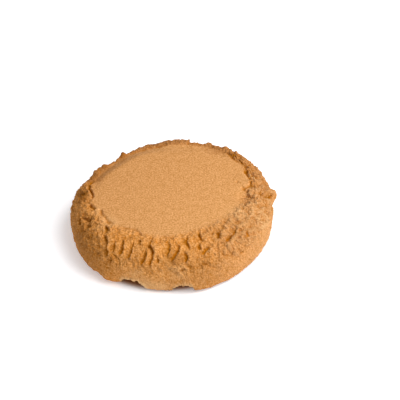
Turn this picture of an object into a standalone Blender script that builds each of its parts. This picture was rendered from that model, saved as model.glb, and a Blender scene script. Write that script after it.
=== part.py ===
"""A butter cookie: a ball of dough pressed with a flat stamp and baked, as one solid.

The stamp came down a little behind the middle, so the smooth pressed disc sits towards the back
and the dough bulged out widest at the front.  There the rim split from the disc downwards into
leaning ridges.  The left, the right and the back of the rim are crumbly, a piece of its face broke
off at the right, the edge of the disc is worn at the back, and two chips are out of the lower
edge at the front.

Sizes are in millimetres until the mesh is written, which is in metres.  +Z is up, the cookie
lies on z = 0 and its widest, ridged side faces -Y.  A place on the surface has two numbers:
  angle  degrees round the cookie, 0 at +X (right), 90 at +Y (back), 270 at -Y (front)
  fall   0 at the edge of the disc, 90 where the side is widest, 180 where it meets the table;
         from -1 to 0 it is a place on the disc, -1 at its middle.
"""

import math
import random

import bmesh
import bpy
from mathutils import Vector, noise

MM = 0.001

# ---- Driving sizes ----
BODY_RADIUS = 35.2            # mean distance from the middle to the widest place of the side
DISC_HEIGHT = 15.0            # the pressed disc above the table
GIRTH_HEIGHT = 5.5            # the widest place of the side above the table
# How far the side curls in below its widest place, by angle
FOOT_STANDS_BACK = ((0, 1.8), (180, 1.8), (203, 1.0), (215, 1.6), (238, 2.0), (252, 0.8), (298, 0.4),
                    (345, 0.5), (360, 1.8))
DISC_HALF_WIDTH = 26.5        # the pressed disc, from its centre to the left and right
DISC_HALF_DEPTH = 25.6        # and to the front and back
DISC_CENTRE = (-0.6, 2.8)     # the stamp came down behind the middle

# The outline's unevenness: (waves in a full turn, height, direction of one crest)
OUTLINE_WAVES = ((2, 0.51, 91.0), (3, 0.45, 69.0), (4, 0.54, 18.0), (5, 0.36, 19.0), (6, 0.41, 41.0))
# The edge of the disc wavers too
DISC_WAVES = ((3, 0.35, 20.0), (5, 0.30, 50.0), (7, 0.35, 10.0))

# ---- Cracks ----
# The cracks between the ridges: (depth, places along it from its top end down)
RIDGE_CRACKS = (
    (0.9, ((221.5, 31), (225, 36), (227, 47), (228.5, 64))),
    (1.0, ((229.5, 31), (231, 40), (232.5, 51))),
    (0.6, ((231, 58), (232.5, 66), (232, 72))),
    (0.5, ((230.5, 52), (236, 60), (238.5, 63))),
    (1.1, ((234, 26), (236, 33), (237, 45), (236, 52))),
    (1.1, ((242, 25), (243, 42), (242.5, 57))),
    (0.5, ((244.5, 17), (247, 28))),
    (1.1, ((251.5, 36), (252.5, 50), (250, 64))),
    (1.1, ((254, 10), (253.5, 25), (256, 30), (257, 38), (256, 54), (255.5, 64))),
    (0.8, ((259, 44), (260, 49), (260, 56))),
    (0.7, ((267, 7), (266.5, 33), (265, 44))),
    (1.1, ((272, 21), (273, 27), (272, 34), (268, 51))),
    (0.9, ((281, 7), (278.5, 21), (279.5, 32))),
    (1.0, ((276, 35), (277, 45), (275.5, 54))),
    (0.8, ((290.5, 6), (289, 13), (289, 24))),
    (0.9, ((287, 27), (285.5, 32), (286, 37))),
    (0.8, ((294, 36), (289, 40), (285.5, 46))),
    (0.8, ((305.5, 19), (302, 24), (301, 30))),
    (0.6, ((297.5, 28), (295.5, 30))),
    (0.8, ((315.5, 28), (312, 35), (307.5, 39), (302, 40))),
    (0.9, ((320, 44), (317, 57))),
    (0.6, ((211.5, 33), (211.5, 39), (214, 45))),
    (0.7, ((192.5, 41), (195.5, 45), (198, 50))),
    (0.6, ((198.5, 21), (201, 24))),
    (1.3, ((76, 6), (76, 46))),
    (0.7, ((138, 18), (138, 44))),
    (0.7, ((148, 3), (146, 46))),
)
CRACK_DEPTH = 0.85            # depth of a crack whose own number is 1
LEFT_FLANK = 1.2              # a crack's left side is a long slope
RIGHT_FLANK = 0.5             # and its right side is steep
RIDGE_CREST = 1.2             # height of the ridge that stands up beside the steep side
CREST_SLOPE = 1.6             # how far that ridge takes to fade to the right
CRACK_END = 0.7               # how far a crack runs out past its ends
CRACK_REACH = 4.0             # no crack is felt further away than this
# The sides that aren't drawn above get cracks at random, between these angles past the back
SPLIT_FROM, SPLIT_TO = 15, 150
SPLIT_SPACING = (4.0, 8.0)    # degrees from one to the next
SPLIT_TOP = (6.0, 32.0)       # fall of the top end
SPLIT_LENGTH = (16.0, 42.0)   # fall from the top end to the lower end
SPLIT_LEAN = (-4.0, 4.0)      # degrees from the top end to the lower end
SPLIT_BOW = (-1.5, 1.5)
SPLIT_DEPTH = (0.3, 0.6)

# Creases where the rim broke away from the disc: (depth, half width, places along it)
CREASES = (
    (1.0, 0.7, ((161, 3), (165, 8), (170, 7), (172, 1), (180, 0))),
    (0.7, 0.6, ((188.5, 9), (191, 10), (193, 6))),
    (0.5, 0.7, ((197.5, -0.03), (203, 1), (212.5, 2), (216.5, 0))),
    (0.9, 0.6, ((216, 13), (218, 17), (219.5, 20))),
    (0.5, 0.7, ((226, 1), (238, -0.02), (244, 5))),
    (0.4, 0.7, ((259, 1), (269, 4), (278, 5))),
    (0.7, 0.7, ((29, 4), (36, 1), (44, 6))),
    (0.5, 0.7, ((92, 3), (104, 0), (118, 3))),
    (1.5, 0.9, ((356, 36), (355, 42), (356, 52), (0, 68))),
    (0.9, 0.7, ((24, 18), (18, 8), (16, 3))),
    (0.8, 0.6, ((40.5, 13), (31.5, 11), (21, 10), (17, 1), (9, 7), (356, -0.03))),
    (0.8, 0.6, ((196, 35), (199, 32), (201.5, 26))),
)
CREASE_REACH = 3.0            # no crease is felt further away than this many half widths

# ---- Lumps ----
# Single lumps and hollows: (angle, fall, radius, height; a hollow's height is negative)
LUMPS = (
    (84, 22, 4.2, 0.8),
    (62, 27, 1.8, 0.9),
    (50, 32, 2.2, 0.6),
    (40, 20, 2.4, 0.9),
    (30, 28, 2.6, 0.8),
    (108, 18, 4.0, 0.5),
    (124, 12, 2.0, 0.7),
    (123, 7, 1.0, 1.2),
    (140, 28, 2.4, 1.1),
    (147, 26, 1.8, 0.9),
    (164, 16, 2.4, 0.9),
    (180, 34, 3.0, 0.7),
    (4.5, 79, 2.0, 2.1),
    (357.5, 76, 1.6, -0.7),
    (351, 74, 2.8, 0.9),
    (358, 52, 1.7, -1.6),
    (346, 7, 2.8, -1.1),
    (340, 14, 2.0, -0.5),
    (38, 11, 1.0, -0.9),
    (171, 38, 2.4, -0.9),
    (174, 26, 1.4, -1.0),
    (200, 32, 2.2, -0.8),
    (204, 38, 1.2, -0.8),
    (222, 44, 0.9, 0.5),
    (240, 79, 1.5, 0.5),
    (256, 82, 3.0, 0.5),
    (231, 128, 3.2, 1.3),
    (218, 110, 7.0, 0.5),
    (258, 128, 4.0, 0.6),
    (283, 128, 4.0, 0.5),
)
LUMP_FOOT = 0.6               # the lumps fade over this height above the table

# Crumbly lumps all round: their size, how far the lumps stand over the valleys between them,
# and the share of that by angle
CRAG_SIZE = 3.4
CRAG_HEIGHT = 1.3
CRAG_VALLEY = 0.4             # the part of a lump that is below the smooth form
LUMP_STEEPNESS = 2.0          # how quickly a crumbly lump rises out of its valleys
CRAG_SHARES = ((0, 0.8), (30, 0.6), (60, 0.45), (90, 0.25), (130, 0.35), (170, 0.5), (205, 0.4), (225, 0.2),
               (235, 0.1), (280, 0.1), (295, 0.4), (330, 0.55), (350, 0.6), (360, 0.8))
CRAG_FALLS = (0.0, 12.0, 62.0, 92.0)     # where the lumps begin, are full, begin to fade and end
# Crumbs on them
CRUMB_SIZE = 1.9
CRUMB_HEIGHT = 0.5
RELIEF_ENDS = (95.0, 125.0)   # falls between which all this fades into the smooth foot

# ---- Broken places ----
# The face that broke off at the right: its front side is a step and the others run out
BROKEN_FROM, BROKEN_TO = -1.0, 48.0      # angles
BROKEN_STEP, BROKEN_RUNS_OUT = 1.5, 15.0
BROKEN_TOP, BROKEN_LOW = 12.0, 66.0      # falls
BROKEN_TOP_SLOPE, BROKEN_LOW_SLOPE = 6.0, 14.0
BROKEN_DEPTH = 0.9
# The edge of the disc is worn to a slope at the back: its depth, and its width from the disc's edge
# inwards, by angle
WORN_DEPTHS = ((0, 0.0), (35, 0.0), (60, 1.0), (92, 1.0), (110, 2.0), (135, 2.0), (158, 0.8), (172, 0.0),
               (360, 0.0))
WORN_WIDTHS = ((0, 6.0), (130, 6.0), (155, 3.5), (360, 3.5))
WORN_FALLS = (35.0, 85.0)                # where it begins to fade down the rim, and ends
# Chips out of the lower edge: (first angle, angle of the top, last angle, height, depth)
CHIPS = ((236.5, 240.5, 254.0, 3.7, 3.6), (266.5, 276.5, 279.2, 3.7, 3.6))
CHIP_ROUNDNESS = 2.5          # how squarely a chip's arch turns from its sides into its top
CHIP_LIP = 0.8                # height over which a chip's roof turns into the side

# The disc is nearly flat, with slow waves
DISC_WAVE_HEIGHT = 0.2
DISC_WAVE_LENGTH = 9.0

# ---- Mesh ----
SEGMENTS = 288
RIM_FALLS = (0, 6, 12, 18, 25, 32, 39, 46, 53, 60, 69, 80, 92, 103, 114, 128, 148, 180)
DISC_RINGS = ((-0.05, 288), (-0.14, 144), (-0.32, 72), (-0.60, 36), (-0.85, 12))
FOOT_RINGS = ((0.85, 96), (0.5, 24))     # share of the foot's radius, points in the ring

BAKED_DOUGH = (0.68, 0.34, 0.12, 1.0)


def unit(degrees):
    """The horizontal direction at an angle round the cookie."""
    turn = math.radians(degrees)
    return Vector((math.cos(turn), math.sin(turn), 0.0))


def waves(table, angle):
    """The sum of a few waves round the cookie."""
    return sum(height * math.cos(math.radians(count * (angle - crest))) for count, height, crest in table)


def smooth(value):
    """0 below 0, 1 above 1, and a soft step between."""
    value = min(max(value, 0.0), 1.0)
    return value * value * (3.0 - 2.0 * value)


def at_angle(table, angle):
    """The number at an angle, between the numbers of a table's neighbouring angles."""
    for (start, low), (end, high) in zip(table, table[1:]):
        if start <= angle <= end:
            return low + (high - low) * (angle - start) / (end - start)
    return table[0][1]


def turn_between(angle, other):
    """The shorter way from one angle to another, -180 to 180."""
    return (angle - other + 180.0) % 360.0 - 180.0


# ---------------------------------------------------------------- the smooth form


def body_radius(angle):
    return BODY_RADIUS + waves(OUTLINE_WAVES, angle)


def disc_radius(angle):
    """From the cookie's middle to the edge of the disc, which is an ellipse about its own centre."""
    way = unit(angle)
    along = Vector((way.x / DISC_HALF_WIDTH, way.y / DISC_HALF_DEPTH))
    start = Vector((-DISC_CENTRE[0] / DISC_HALF_WIDTH, -DISC_CENTRE[1] / DISC_HALF_DEPTH))
    square, half, rest = along.dot(along), along.dot(start), start.dot(start) - 1.0
    edge = (-half + math.sqrt(half * half - square * rest)) / square
    return edge + waves(DISC_WAVES, angle)


def place_on_form(angle, fall):
    """The place on the cookie without its relief."""
    edge, girth = disc_radius(angle), body_radius(angle)
    turn = math.radians(fall)
    if fall <= 0.0:
        reach, height = edge * (1.0 + fall), DISC_HEIGHT
    elif fall <= 90.0:
        reach = edge + (girth - edge) * math.sin(turn)
        height = GIRTH_HEIGHT + (DISC_HEIGHT - GIRTH_HEIGHT) * math.cos(turn)
    else:
        reach = girth - at_angle(FOOT_STANDS_BACK, angle) * (1.0 - math.sin(turn))
        height = GIRTH_HEIGHT * (1.0 + math.cos(turn))
    return unit(angle) * reach + Vector((0.0, 0.0, height))


def outward(angle, fall):
    """The direction in which the relief stands: up on the disc, out at the girth."""
    turn = math.radians(min(max(fall, 0.0), 90.0))
    return unit(angle) * math.sin(turn) + Vector((0.0, 0.0, math.cos(turn)))


# ---------------------------------------------------------------- relief


class Path:
    """A line over the smooth form, made of straight stretches between its places."""

    def __init__(self, places):
        points = [place_on_form(angle, fall) for angle, fall in places]
        self.stretches = list(zip(points, points[1:]))
        self.length = sum((end - start).length for start, end in self.stretches)
        self.middle = sum(points, Vector()) / len(points)

    def measure(self, place, normal, reach):
        """(distance, side, whether the nearest place is an end), or nothing when out of reach.

        The side is 1 to the right of the path and -1 to its left, seen from outside with the path
        running down.
        """
        if (place - self.middle).length > self.length + reach:
            return None
        found = None
        last = len(self.stretches) - 1
        for index, (start, end) in enumerate(self.stretches):
            along = end - start
            share = (place - start).dot(along) / along.length_squared
            at_end = (index == 0 and share <= 0.0) or (index == last and share >= 1.0)
            apart = place - start - along * min(max(share, 0.0), 1.0)
            if found is None or apart.length < found[0]:
                side = 1.0 if normal.cross(along).dot(apart) > 0.0 else -1.0
                found = (apart.length, side, at_end)
        return found


def random_cracks():
    """Cracks for the sides where none is drawn, spaced and leaning at random."""
    draw = random.Random(7)
    cracks = []
    angle = SPLIT_FROM
    while angle < SPLIT_TO:
        top, lean = draw.uniform(*SPLIT_TOP), draw.uniform(*SPLIT_LEAN)
        length, bow = draw.uniform(*SPLIT_LENGTH), draw.uniform(*SPLIT_BOW)
        depth = draw.uniform(*SPLIT_DEPTH)
        middle = (angle + lean / 2 + bow, top + length / 2)
        cracks.append((depth, ((angle, top), middle, (angle + lean, top + length))))
        angle += draw.uniform(*SPLIT_SPACING)
    return tuple(cracks)


CRACK_PATHS = [(depth, Path(places)) for depth, places in RIDGE_CRACKS + random_cracks()]
CREASE_PATHS = [(depth, half_width, Path(places)) for depth, half_width, places in CREASES]


def crack_relief(place, normal):
    """Cracks with a long left slope and a steep right wall, and the ridge that stands beside it."""
    deepest, crest = 0.0, 0.0
    for depth, path in CRACK_PATHS:
        found = path.measure(place, normal, CRACK_REACH)
        if found is None:
            continue
        distance, side, at_end = found
        runs_out = math.exp(-(distance / CRACK_END) ** 2) if at_end else 1.0
        if side < 0.0:
            groove = math.exp(-distance / LEFT_FLANK)
        else:
            groove = math.exp(-(distance / RIGHT_FLANK) ** 2)
            beside = math.exp(-distance / CREST_SLOPE) * (1.0 - groove)
            crest = max(crest, RIDGE_CREST * depth * beside * runs_out)
        deepest = max(deepest, CRACK_DEPTH * depth * groove * runs_out)
    return crest - deepest


def crease_relief(place, normal):
    """Creases with two sides alike."""
    deepest = 0.0
    for depth, half_width, path in CREASE_PATHS:
        found = path.measure(place, normal, CREASE_REACH * half_width)
        if found is not None:
            deepest = max(deepest, depth * math.exp(-(found[0] / half_width) ** 2))
    return -deepest


def lump_relief(place):
    """Single lumps and hollows."""
    height = 0.0
    for lump_angle, lump_fall, radius, lump_height in LUMPS:
        distance = (place - place_on_form(lump_angle, lump_fall)).length
        height += lump_height * math.exp(-(distance / radius) ** 2)
    return height


def lump_noise(place, size):
    """Rounded lumps of uneven size with narrow valleys between them: 0 in a valley, up to 1."""
    return min(LUMP_STEEPNESS * abs(noise.noise(place / size)), 1.0)


def crag_relief(angle, fall, place):
    """Crumbly lumps that fade into the disc and the smooth foot."""
    begins, full, fades, ends = CRAG_FALLS
    fading = smooth((fall - begins) / (full - begins)) * (1.0 - smooth((fall - fades) / (ends - fades)))
    big = CRAG_HEIGHT * (lump_noise(place, CRAG_SIZE) - CRAG_VALLEY)
    small = CRUMB_HEIGHT * (lump_noise(place, CRUMB_SIZE) - CRAG_VALLEY)
    return at_angle(CRAG_SHARES, angle) * (big + small) * fading


def broken_relief(angle, fall):
    """The face that broke off at the right."""
    turn = turn_between(angle, BROKEN_FROM)
    across = smooth(turn / BROKEN_STEP) * smooth((BROKEN_TO - BROKEN_FROM - turn) / BROKEN_RUNS_OUT)
    down = smooth((fall - BROKEN_TOP) / BROKEN_TOP_SLOPE) * smooth((BROKEN_LOW - fall) / BROKEN_LOW_SLOPE)
    return -BROKEN_DEPTH * across * down


def worn_relief(angle, fall, place):
    """The slope at the edge of the disc, which runs out down the rim."""
    past_edge = math.hypot(place.x, place.y) - disc_radius(angle)
    inward = smooth(1.0 + past_edge / at_angle(WORN_WIDTHS, angle))
    fades, ends = WORN_FALLS
    return -at_angle(WORN_DEPTHS, angle) * inward * (1.0 - smooth((fall - fades) / (ends - fades)))


def chip_inset(angle, height):
    """How far the lower edge is broken back at a height above the table: each chip is an arch."""
    inset = 0.0
    for first, highest, last, top, depth in CHIPS:
        end = first if angle < highest else last
        across = (angle - highest) / (end - highest)
        if across < 1.0:
            arch = top * math.sqrt(1.0 - across ** CHIP_ROUNDNESS)
            inset += depth * smooth((arch - height) / CHIP_LIP)
    return inset


def surface(angle, fall):
    """The finished place on the cookie."""
    angle %= 360.0
    place = place_on_form(angle, fall)
    normal = outward(angle, fall)
    relief = crease_relief(place, normal) + worn_relief(angle, fall, place)
    if fall < 0.0:
        relief += DISC_WAVE_HEIGHT * noise.noise(place / DISC_WAVE_LENGTH)
    else:
        relief += crack_relief(place, normal) + crag_relief(angle, fall, place) + broken_relief(angle, fall)
    relief *= 1.0 - smooth((fall - RELIEF_ENDS[0]) / (RELIEF_ENDS[1] - RELIEF_ENDS[0]))
    relief += lump_relief(place) * smooth(place.z / LUMP_FOOT)
    return place + normal * relief - unit(angle) * chip_inset(angle, place.z)


# ---------------------------------------------------------------- mesh


def add_ring(bm, points, place_of):
    """A closed loop of edges, each point put where place_of(angle) says."""
    ring = bmesh.ops.create_circle(bm, segments=points, radius=1.0)["verts"]
    for vert in ring:
        angle = math.degrees(math.atan2(vert.co.y, vert.co.x)) % 360.0
        vert.co = place_of(angle)
    return ring


def edges_of(ring):
    return list({edge for vert in ring for edge in vert.link_edges if edge.is_wire or edge.is_boundary})


def join_rings(bm, rings):
    """Skins neighbouring rings with faces."""
    for ring, next_ring in zip(rings, rings[1:]):
        bmesh.ops.bridge_loops(bm, edges=edges_of(ring) + edges_of(next_ring))


def place_at_fall(fall):
    return lambda angle: surface(angle, fall)


def foot_place(share):
    """A ring on the flat underside, at a share of the foot's own radius."""
    def place_of(angle):
        place = surface(angle, 180.0)
        return Vector((place.x * share, place.y * share, 0.0))
    return place_of


def centre_on_table(bm):
    """Moves the mesh so that the box round it is centred on the origin and stands on z = 0."""
    low = Vector([min(vert.co[axis] for vert in bm.verts) for axis in range(3)])
    high = Vector([max(vert.co[axis] for vert in bm.verts) for axis in range(3)])
    middle = (low + high) / 2.0
    bmesh.ops.translate(bm, verts=bm.verts, vec=(-middle.x, -middle.y, -low.z))


def dough_material():
    material = bpy.data.materials.new("baked_dough")
    material.use_nodes = True
    shader = material.node_tree.nodes["Principled BSDF"]
    shader.inputs["Base Color"].default_value = BAKED_DOUGH
    shader.inputs["Roughness"].default_value = 0.7
    shader.inputs["Metallic"].default_value = 0.0
    return material


def build_cookie():
    bm = bmesh.new()
    rings = [add_ring(bm, points, place_at_fall(fall)) for fall, points in reversed(DISC_RINGS)]
    rings += [add_ring(bm, SEGMENTS, place_at_fall(fall)) for fall in RIM_FALLS]
    rings += [add_ring(bm, points, foot_place(share)) for share, points in FOOT_RINGS]
    join_rings(bm, rings)
    bmesh.ops.contextual_create(bm, geom=edges_of(rings[0]))
    bmesh.ops.contextual_create(bm, geom=edges_of(rings[-1]))
    bmesh.ops.triangulate(bm, faces=bm.faces, quad_method="SHORT_EDGE")
    bmesh.ops.recalc_face_normals(bm, faces=bm.faces)
    centre_on_table(bm)
    bmesh.ops.scale(bm, verts=bm.verts, vec=(MM, MM, MM))
    mesh = bpy.data.meshes.new("cookie")
    bm.to_mesh(mesh)
    bm.free()
    mesh.materials.append(dough_material())
    mesh.shade_smooth()
    cookie = bpy.data.objects.new("cookie", mesh)
    bpy.context.scene.collection.objects.link(cookie)
    return cookie


for old in list(bpy.data.objects):
    bpy.data.objects.remove(old, do_unlink=True)
build_cookie()
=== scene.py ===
"""The looks of a butter cookie: baked dough with a smooth pressed disc and a cracked, crumbly rim.

The dough starts as a ring of points at the edge of the pressed disc. The ring is drawn out and down
to the foot, the disc and the underside are filled, and the pat is subdivided. The cracks, ridges,
lumps, pits and grain are then painted as weights and pressed in or raised by displacement.

Places on the dough have two numbers, as on a clock face with a slope:
  angle  degrees round the cookie, 0 to the right (+X), 90 at the back (+Y), 270 at the front
  fall   0 at the edge of the disc, 90 where the side is widest, 180 at the table; -1 to 0 on the disc

Lengths are in millimetres unless a comment says metres, and are turned to metres as the points
are laid. The named values are
  a table by angle  rows of (angle, value), with straight lines between them
  a zone            (first, last, width of the soft edge at the first, width at the last)
  a step            (where it starts, where it ends), with a soft step between
  a noise           rows of (height, size of the lumps, seed), added up
"""

import math
import random

import bmesh
import bpy
import numpy as np
from mathutils import Matrix, Vector, noise


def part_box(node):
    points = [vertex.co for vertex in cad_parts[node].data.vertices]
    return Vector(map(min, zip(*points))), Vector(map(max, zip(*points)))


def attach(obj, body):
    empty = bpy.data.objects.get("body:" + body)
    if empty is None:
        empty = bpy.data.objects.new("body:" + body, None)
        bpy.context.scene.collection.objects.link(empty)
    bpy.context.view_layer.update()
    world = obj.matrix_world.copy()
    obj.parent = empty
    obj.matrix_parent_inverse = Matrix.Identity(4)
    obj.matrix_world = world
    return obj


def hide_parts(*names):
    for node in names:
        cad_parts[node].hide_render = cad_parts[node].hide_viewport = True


MM = 0.001

# ---- The form ----
BODY_RADIUS = 35.2
DISC_HEIGHT = 15.0
# How high the widest place of the side is
GIRTH_HEIGHT = 5.5
# How far the foot stands back under the side, a table by angle
FOOT_STANDS_BACK = ((0, 1.8), (180, 1.8), (203, 1.0), (215, 1.6), (238, 2.0), (252, 0.8),
                    (298, 0.4), (345, 0.5), (360, 1.8))
DISC_HALF_WIDTH = 26.5
DISC_HALF_DEPTH = 25.6
DISC_CENTRE = (-0.6, 2.8)
# What makes the outlines uneven: (waves in a full turn, height, direction of one crest)
OUTLINE_WAVES = ((2, 0.51, 91.0), (3, 0.45, 69.0), (4, 0.54, 18.0), (5, 0.36, 19.0), (6, 0.41, 41.0))
DISC_WAVES = ((3, 0.35, 20.0), (5, 0.30, 50.0), (7, 0.35, 10.0))

# ---- Cracks ----
# Cracks between ridges, and some at the back: (depth, places along it from the top down)
RIDGE_CRACKS = (
    (0.9, ((221.5, 31), (225, 36), (227, 47), (228.5, 56), (228.5, 64))),
    (1.0, ((229.5, 31), (231, 40), (232.5, 51))),
    (0.6, ((231, 58), (232.5, 66), (232, 72))),
    (0.5, ((230.5, 52), (233.5, 56), (236, 60), (238.5, 63))),
    (0.4, ((233, 71), (236, 74))),
    (1.1, ((234, 26), (236, 33), (237, 40), (237, 47), (236, 52))),
    (1.1, ((242, 25), (242.5, 33), (243, 42), (242.5, 51), (242.5, 57))),
    (0.5, ((244.5, 17), (246.5, 22), (247, 28))),
    (0.4, ((248, 54), (247.5, 58))),
    (1.1, ((251.5, 36), (252.5, 44), (252.5, 50), (251, 56), (250, 64))),
    (1.1, ((254, 10), (254, 16), (253.5, 25), (256, 30), (257, 38), (256.5, 45), (256, 54),
           (255.5, 64))),
    (0.8, ((259, 44), (260, 49), (260, 56))),
    (0.7, ((267, 7), (266.5, 13), (267, 22), (266.5, 33), (265, 44))),
    (1.1, ((272, 21), (273, 27), (272, 34), (270, 41), (268, 51))),
    (0.9, ((281, 7), (280, 12), (278.5, 21), (279.5, 27), (279.5, 32))),
    (1.0, ((276, 35), (276.5, 39), (277, 45), (276, 51), (275.5, 54))),
    (0.8, ((290.5, 6), (289, 13), (289, 24))),
    (0.5, ((293.5, 20), (289, 24))),
    (0.9, ((287, 27), (285.5, 32), (286, 37))),
    (0.8, ((294, 36), (292.5, 38), (289, 40), (285.5, 46))),
    (0.8, ((305.5, 19), (302, 24), (301, 30))),
    (0.6, ((297.5, 28), (295.5, 30))),
    (0.8, ((315.5, 28), (312, 35), (307.5, 39), (302, 40))),
    (0.5, ((301.5, 41), (300, 46))),
    (0.4, ((298.5, 18), (298, 21))),
    (0.9, ((320, 44), (317, 57))),
    (0.6, ((211.5, 33), (211.5, 39), (214, 45))),
    (0.6, ((215, 31), (217, 38))),
    (0.7, ((192.5, 41), (195.5, 45), (198, 50))),
    (0.6, ((198.5, 21), (201, 24))),
    (1.3, ((76, 6), (76, 46))),
    (0.7, ((138, 18), (138, 44))),
    (0.7, ((142, 14), (142, 44))),
    (0.7, ((148, 3), (146, 46))),
    (0.7, ((154, 2), (156, 30))),
)
# What each depth above is multiplied by
CRACK_DEPTH = 0.8
# The section of a crack: a narrow floor, a steep right wall, and a left flank that takes the rest of
# the depth and widens down the crack
CRACK_FLOOR = 0.35
FLOOR_SHARE = 0.4
CRACK_WALL = 0.34
FLANK_WIDTH, FLANK_WIDENS = 0.6, 0.8
# The shade painted in a crack, for the crest's shadow on its left flank, is narrower than its flank
CRACK_SHADE_WIDTH, CRACK_SHADE_WIDENS = 0.35, 0.4
# The crest along the right wall: its height for each depth, and its width
RIDGE_CREST = 1.0
CREST_WIDTH = 1.6
# The share of the depth that is left at a crack's ends, and the shares of its length that the change
# takes at the top and at the foot
END_DEPTH = 0.35
DEEPENS, SHALLOWS = 0.35, 0.15
# How far a crack runs on past its ends
RUNS_ON = 0.4
# How far from its middle line a crack is felt
CRACK_REACH = 4.0
# How far a crack wanders off its places, and how uneven its depth is
CRACK_WANDER = ((0.22, 1.6, 3), (0.15, 0.7, 4))
CRACK_UNEVENNESS = ((0.15, 1.7, 5),)

# Shallow cracks drawn by chance round the back: between which angles and how far apart, and the
# ranges of their tops, lean, length, bow and depth
SPLIT_SEED = 7
SPLIT_FROM, SPLIT_TO = 15, 150
SPLIT_SPACING = (4.0, 8.0)
SPLIT_TOPS = (6, 32)
SPLIT_LEANS = (-4, 4)
SPLIT_LENGTHS = (16, 42)
SPLIT_BOWS = (-1.5, 1.5)
SPLIT_DEPTHS = (0.3, 0.6)

# ---- Creases and pits ----
# Creases: (depth, half width, places along it)
CREASES = (
    (1.0, 0.40, ((161, 3), (164, 4), (165, 8), (170, 7), (172, 1), (176, -0.01), (180, 0))),
    (0.6, 0.40, ((188.5, 9), (191, 10), (193, 6))),
    (0.5, 0.45, ((197.5, -0.03), (203, 1), (206.5, -0.01), (212.5, 2), (216.5, 0))),
    (0.4, 0.50, ((210, 0), (214, 4), (216, 7))),
    (0.9, 0.50, ((216, 13), (218, 17), (219.5, 20))),
    (0.4, 0.40, ((226, 1), (232, -0.01), (238, -0.02), (244, 5))),
    (0.3, 0.40, ((259, 1), (265, 3), (269, 4), (278, 5))),
    (0.6, 0.40, ((29, 4), (32, 1), (36, 1), (44, 6))),
    (0.5, 0.40, ((92, 3), (104, 0), (118, 3))),
    (0.8, 0.50, ((196, 35), (199, 32), (201.5, 26))),
    (0.5, 0.45, ((204.5, 39), (204.5, 33))),
    (0.5, 0.30, ((276, 58), (276, 61), (278, 63))),
    (0.5, 0.30, ((270, 73), (272, 69), (274.5, 66))),
    (0.4, 0.30, ((283, 67), (284.5, 62), (286.5, 63), (287.5, 68))),
    (0.4, 0.30, ((333, 14), (332, 17))),
    (1.5, 0.60, ((356, 36), (355, 42), (356, 52), (0, 68))),
    (0.9, 0.40, ((24, 18), (21, 8), (18, 8), (16, 3))),
    (0.6, 0.45, ((18, 18), (15, 18), (11, 13), (7, 11), (6, 17), (2, 18), (358, 19))),
    (0.5, 0.35, ((358, -0.05), (354, -0.02), (353, 4))),
    (0.8, 0.40, ((40.5, 13), (31.5, 11), (21, 10), (17, 1), (9, 7), (1.5, 10), (356, -0.03))),
)
# What each half width above is multiplied by
CREASE_WIDTH = 1.3
# How far from its middle line a crease is felt
CREASE_REACH = 2.0
CREASE_UNEVENNESS = ((0.5, 1.5, 6),)

# Pits: (angle, fall, radius, depth)
PITS = (
    (221, 31, 0.60, 0.7),
    (253, 25, 0.75, 0.7),
    (246, 66, 0.50, 0.5),
    (274, 51, 0.45, 0.6),
    (286, 32, 0.50, 0.5),
    (287, 46, 0.50, 0.5),
    (289, 44, 0.45, 0.4),
    (252, 44, 0.55, 0.6),
    (302, 23, 0.45, 0.4),
    (314, 31, 0.55, 0.6),
    (306, 39, 0.50, 0.5),
    (320, 85, 0.50, 0.9),
    (220, 46, 0.50, 0.7),
    (220, 55, 0.45, 0.5),
    (223, 53, 0.45, 0.6),
    (215, 46, 0.45, 0.5),
    (235, 27, 0.50, 0.6),
    (232, 18, 0.40, 0.4),
    (244, 5, 0.45, 0.5),
    (254, 63, 0.40, 0.5),
    (274, 8, 0.50, 0.4),
    (269, 5, 0.50, 0.3),
    (276, 16, 0.50, 0.3),
    (269, 57, 0.50, 0.4),
    (292, 32, 0.50, 0.5),
    (315, 28, 0.40, 0.6),
    (320, 24, 0.50, 0.5),
    (314, 36, 0.45, 0.4),
    (324, 45, 0.45, 0.5),
    (314, 11, 0.70, 0.3),
    (308, 14, 0.60, 0.3),
    (298, 16, 0.40, 0.4),
    (18, 8, 0.50, 0.9),
    (21, 9, 0.40, 0.6),
    (16, 16, 0.60, 0.8),
    (9, 11, 0.60, 0.8),
    (38, 11, 0.80, 1.0),
    (44, 16, 0.60, 0.7),
    (353, 4, 0.45, 0.6),
    (356, -0.02, 0.40, 0.5),
    (342, 1, 0.45, 0.4),
    (349, 32, 0.60, 0.6),
    (349, 40, 0.50, 0.6),
    (12, 44, 0.50, 0.6),
    (0, 25, 0.60, 0.6),
    (6, -0.13, 0.40, 0.7),
    (32, 16, 0.40, 0.5),
    (29, 34, 0.60, 0.7),
    (28, 56, 0.50, 0.5),
    (332, 10, 0.40, 0.4),
    (2, 10, 0.60, 0.5),
    (173, 27, 1.50, 1.8),
    (178, 25, 0.80, 1.0),
    (170, 20, 0.45, 0.5),
    (182, 11, 0.45, 0.6),
    (193, 15, 0.50, 0.7),
    (195, 14, 0.50, 0.6),
    (198, 8, 0.50, 0.6),
    (206, 15, 0.55, 0.8),
    (204, 38, 1.10, 1.2),
    (203, 50, 0.60, 0.7),
    (178, 47, 0.50, 0.6),
    (184, 50, 0.60, 0.6),
    (221, 63, 0.50, 0.4),
    (48, -0.20, 0.35, 0.4),
    (56, -0.15, 0.30, 0.3),
    (63, -0.18, 0.30, 0.25),
    (272, -0.75, 0.30, 0.25),
    (89, 8, 0.50, 0.6),
    (122, -0.17, 0.40, 0.3),
    (124, -0.25, 0.35, 0.2),
    (164, -0.03, 0.35, 0.3),
    (168, -0.05, 0.35, 0.3),
)
# What each depth above is multiplied by
PIT_DEPTH = 0.55
PIT_UNEVENNESS = ((0.9, 0.9, 15),)
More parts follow.
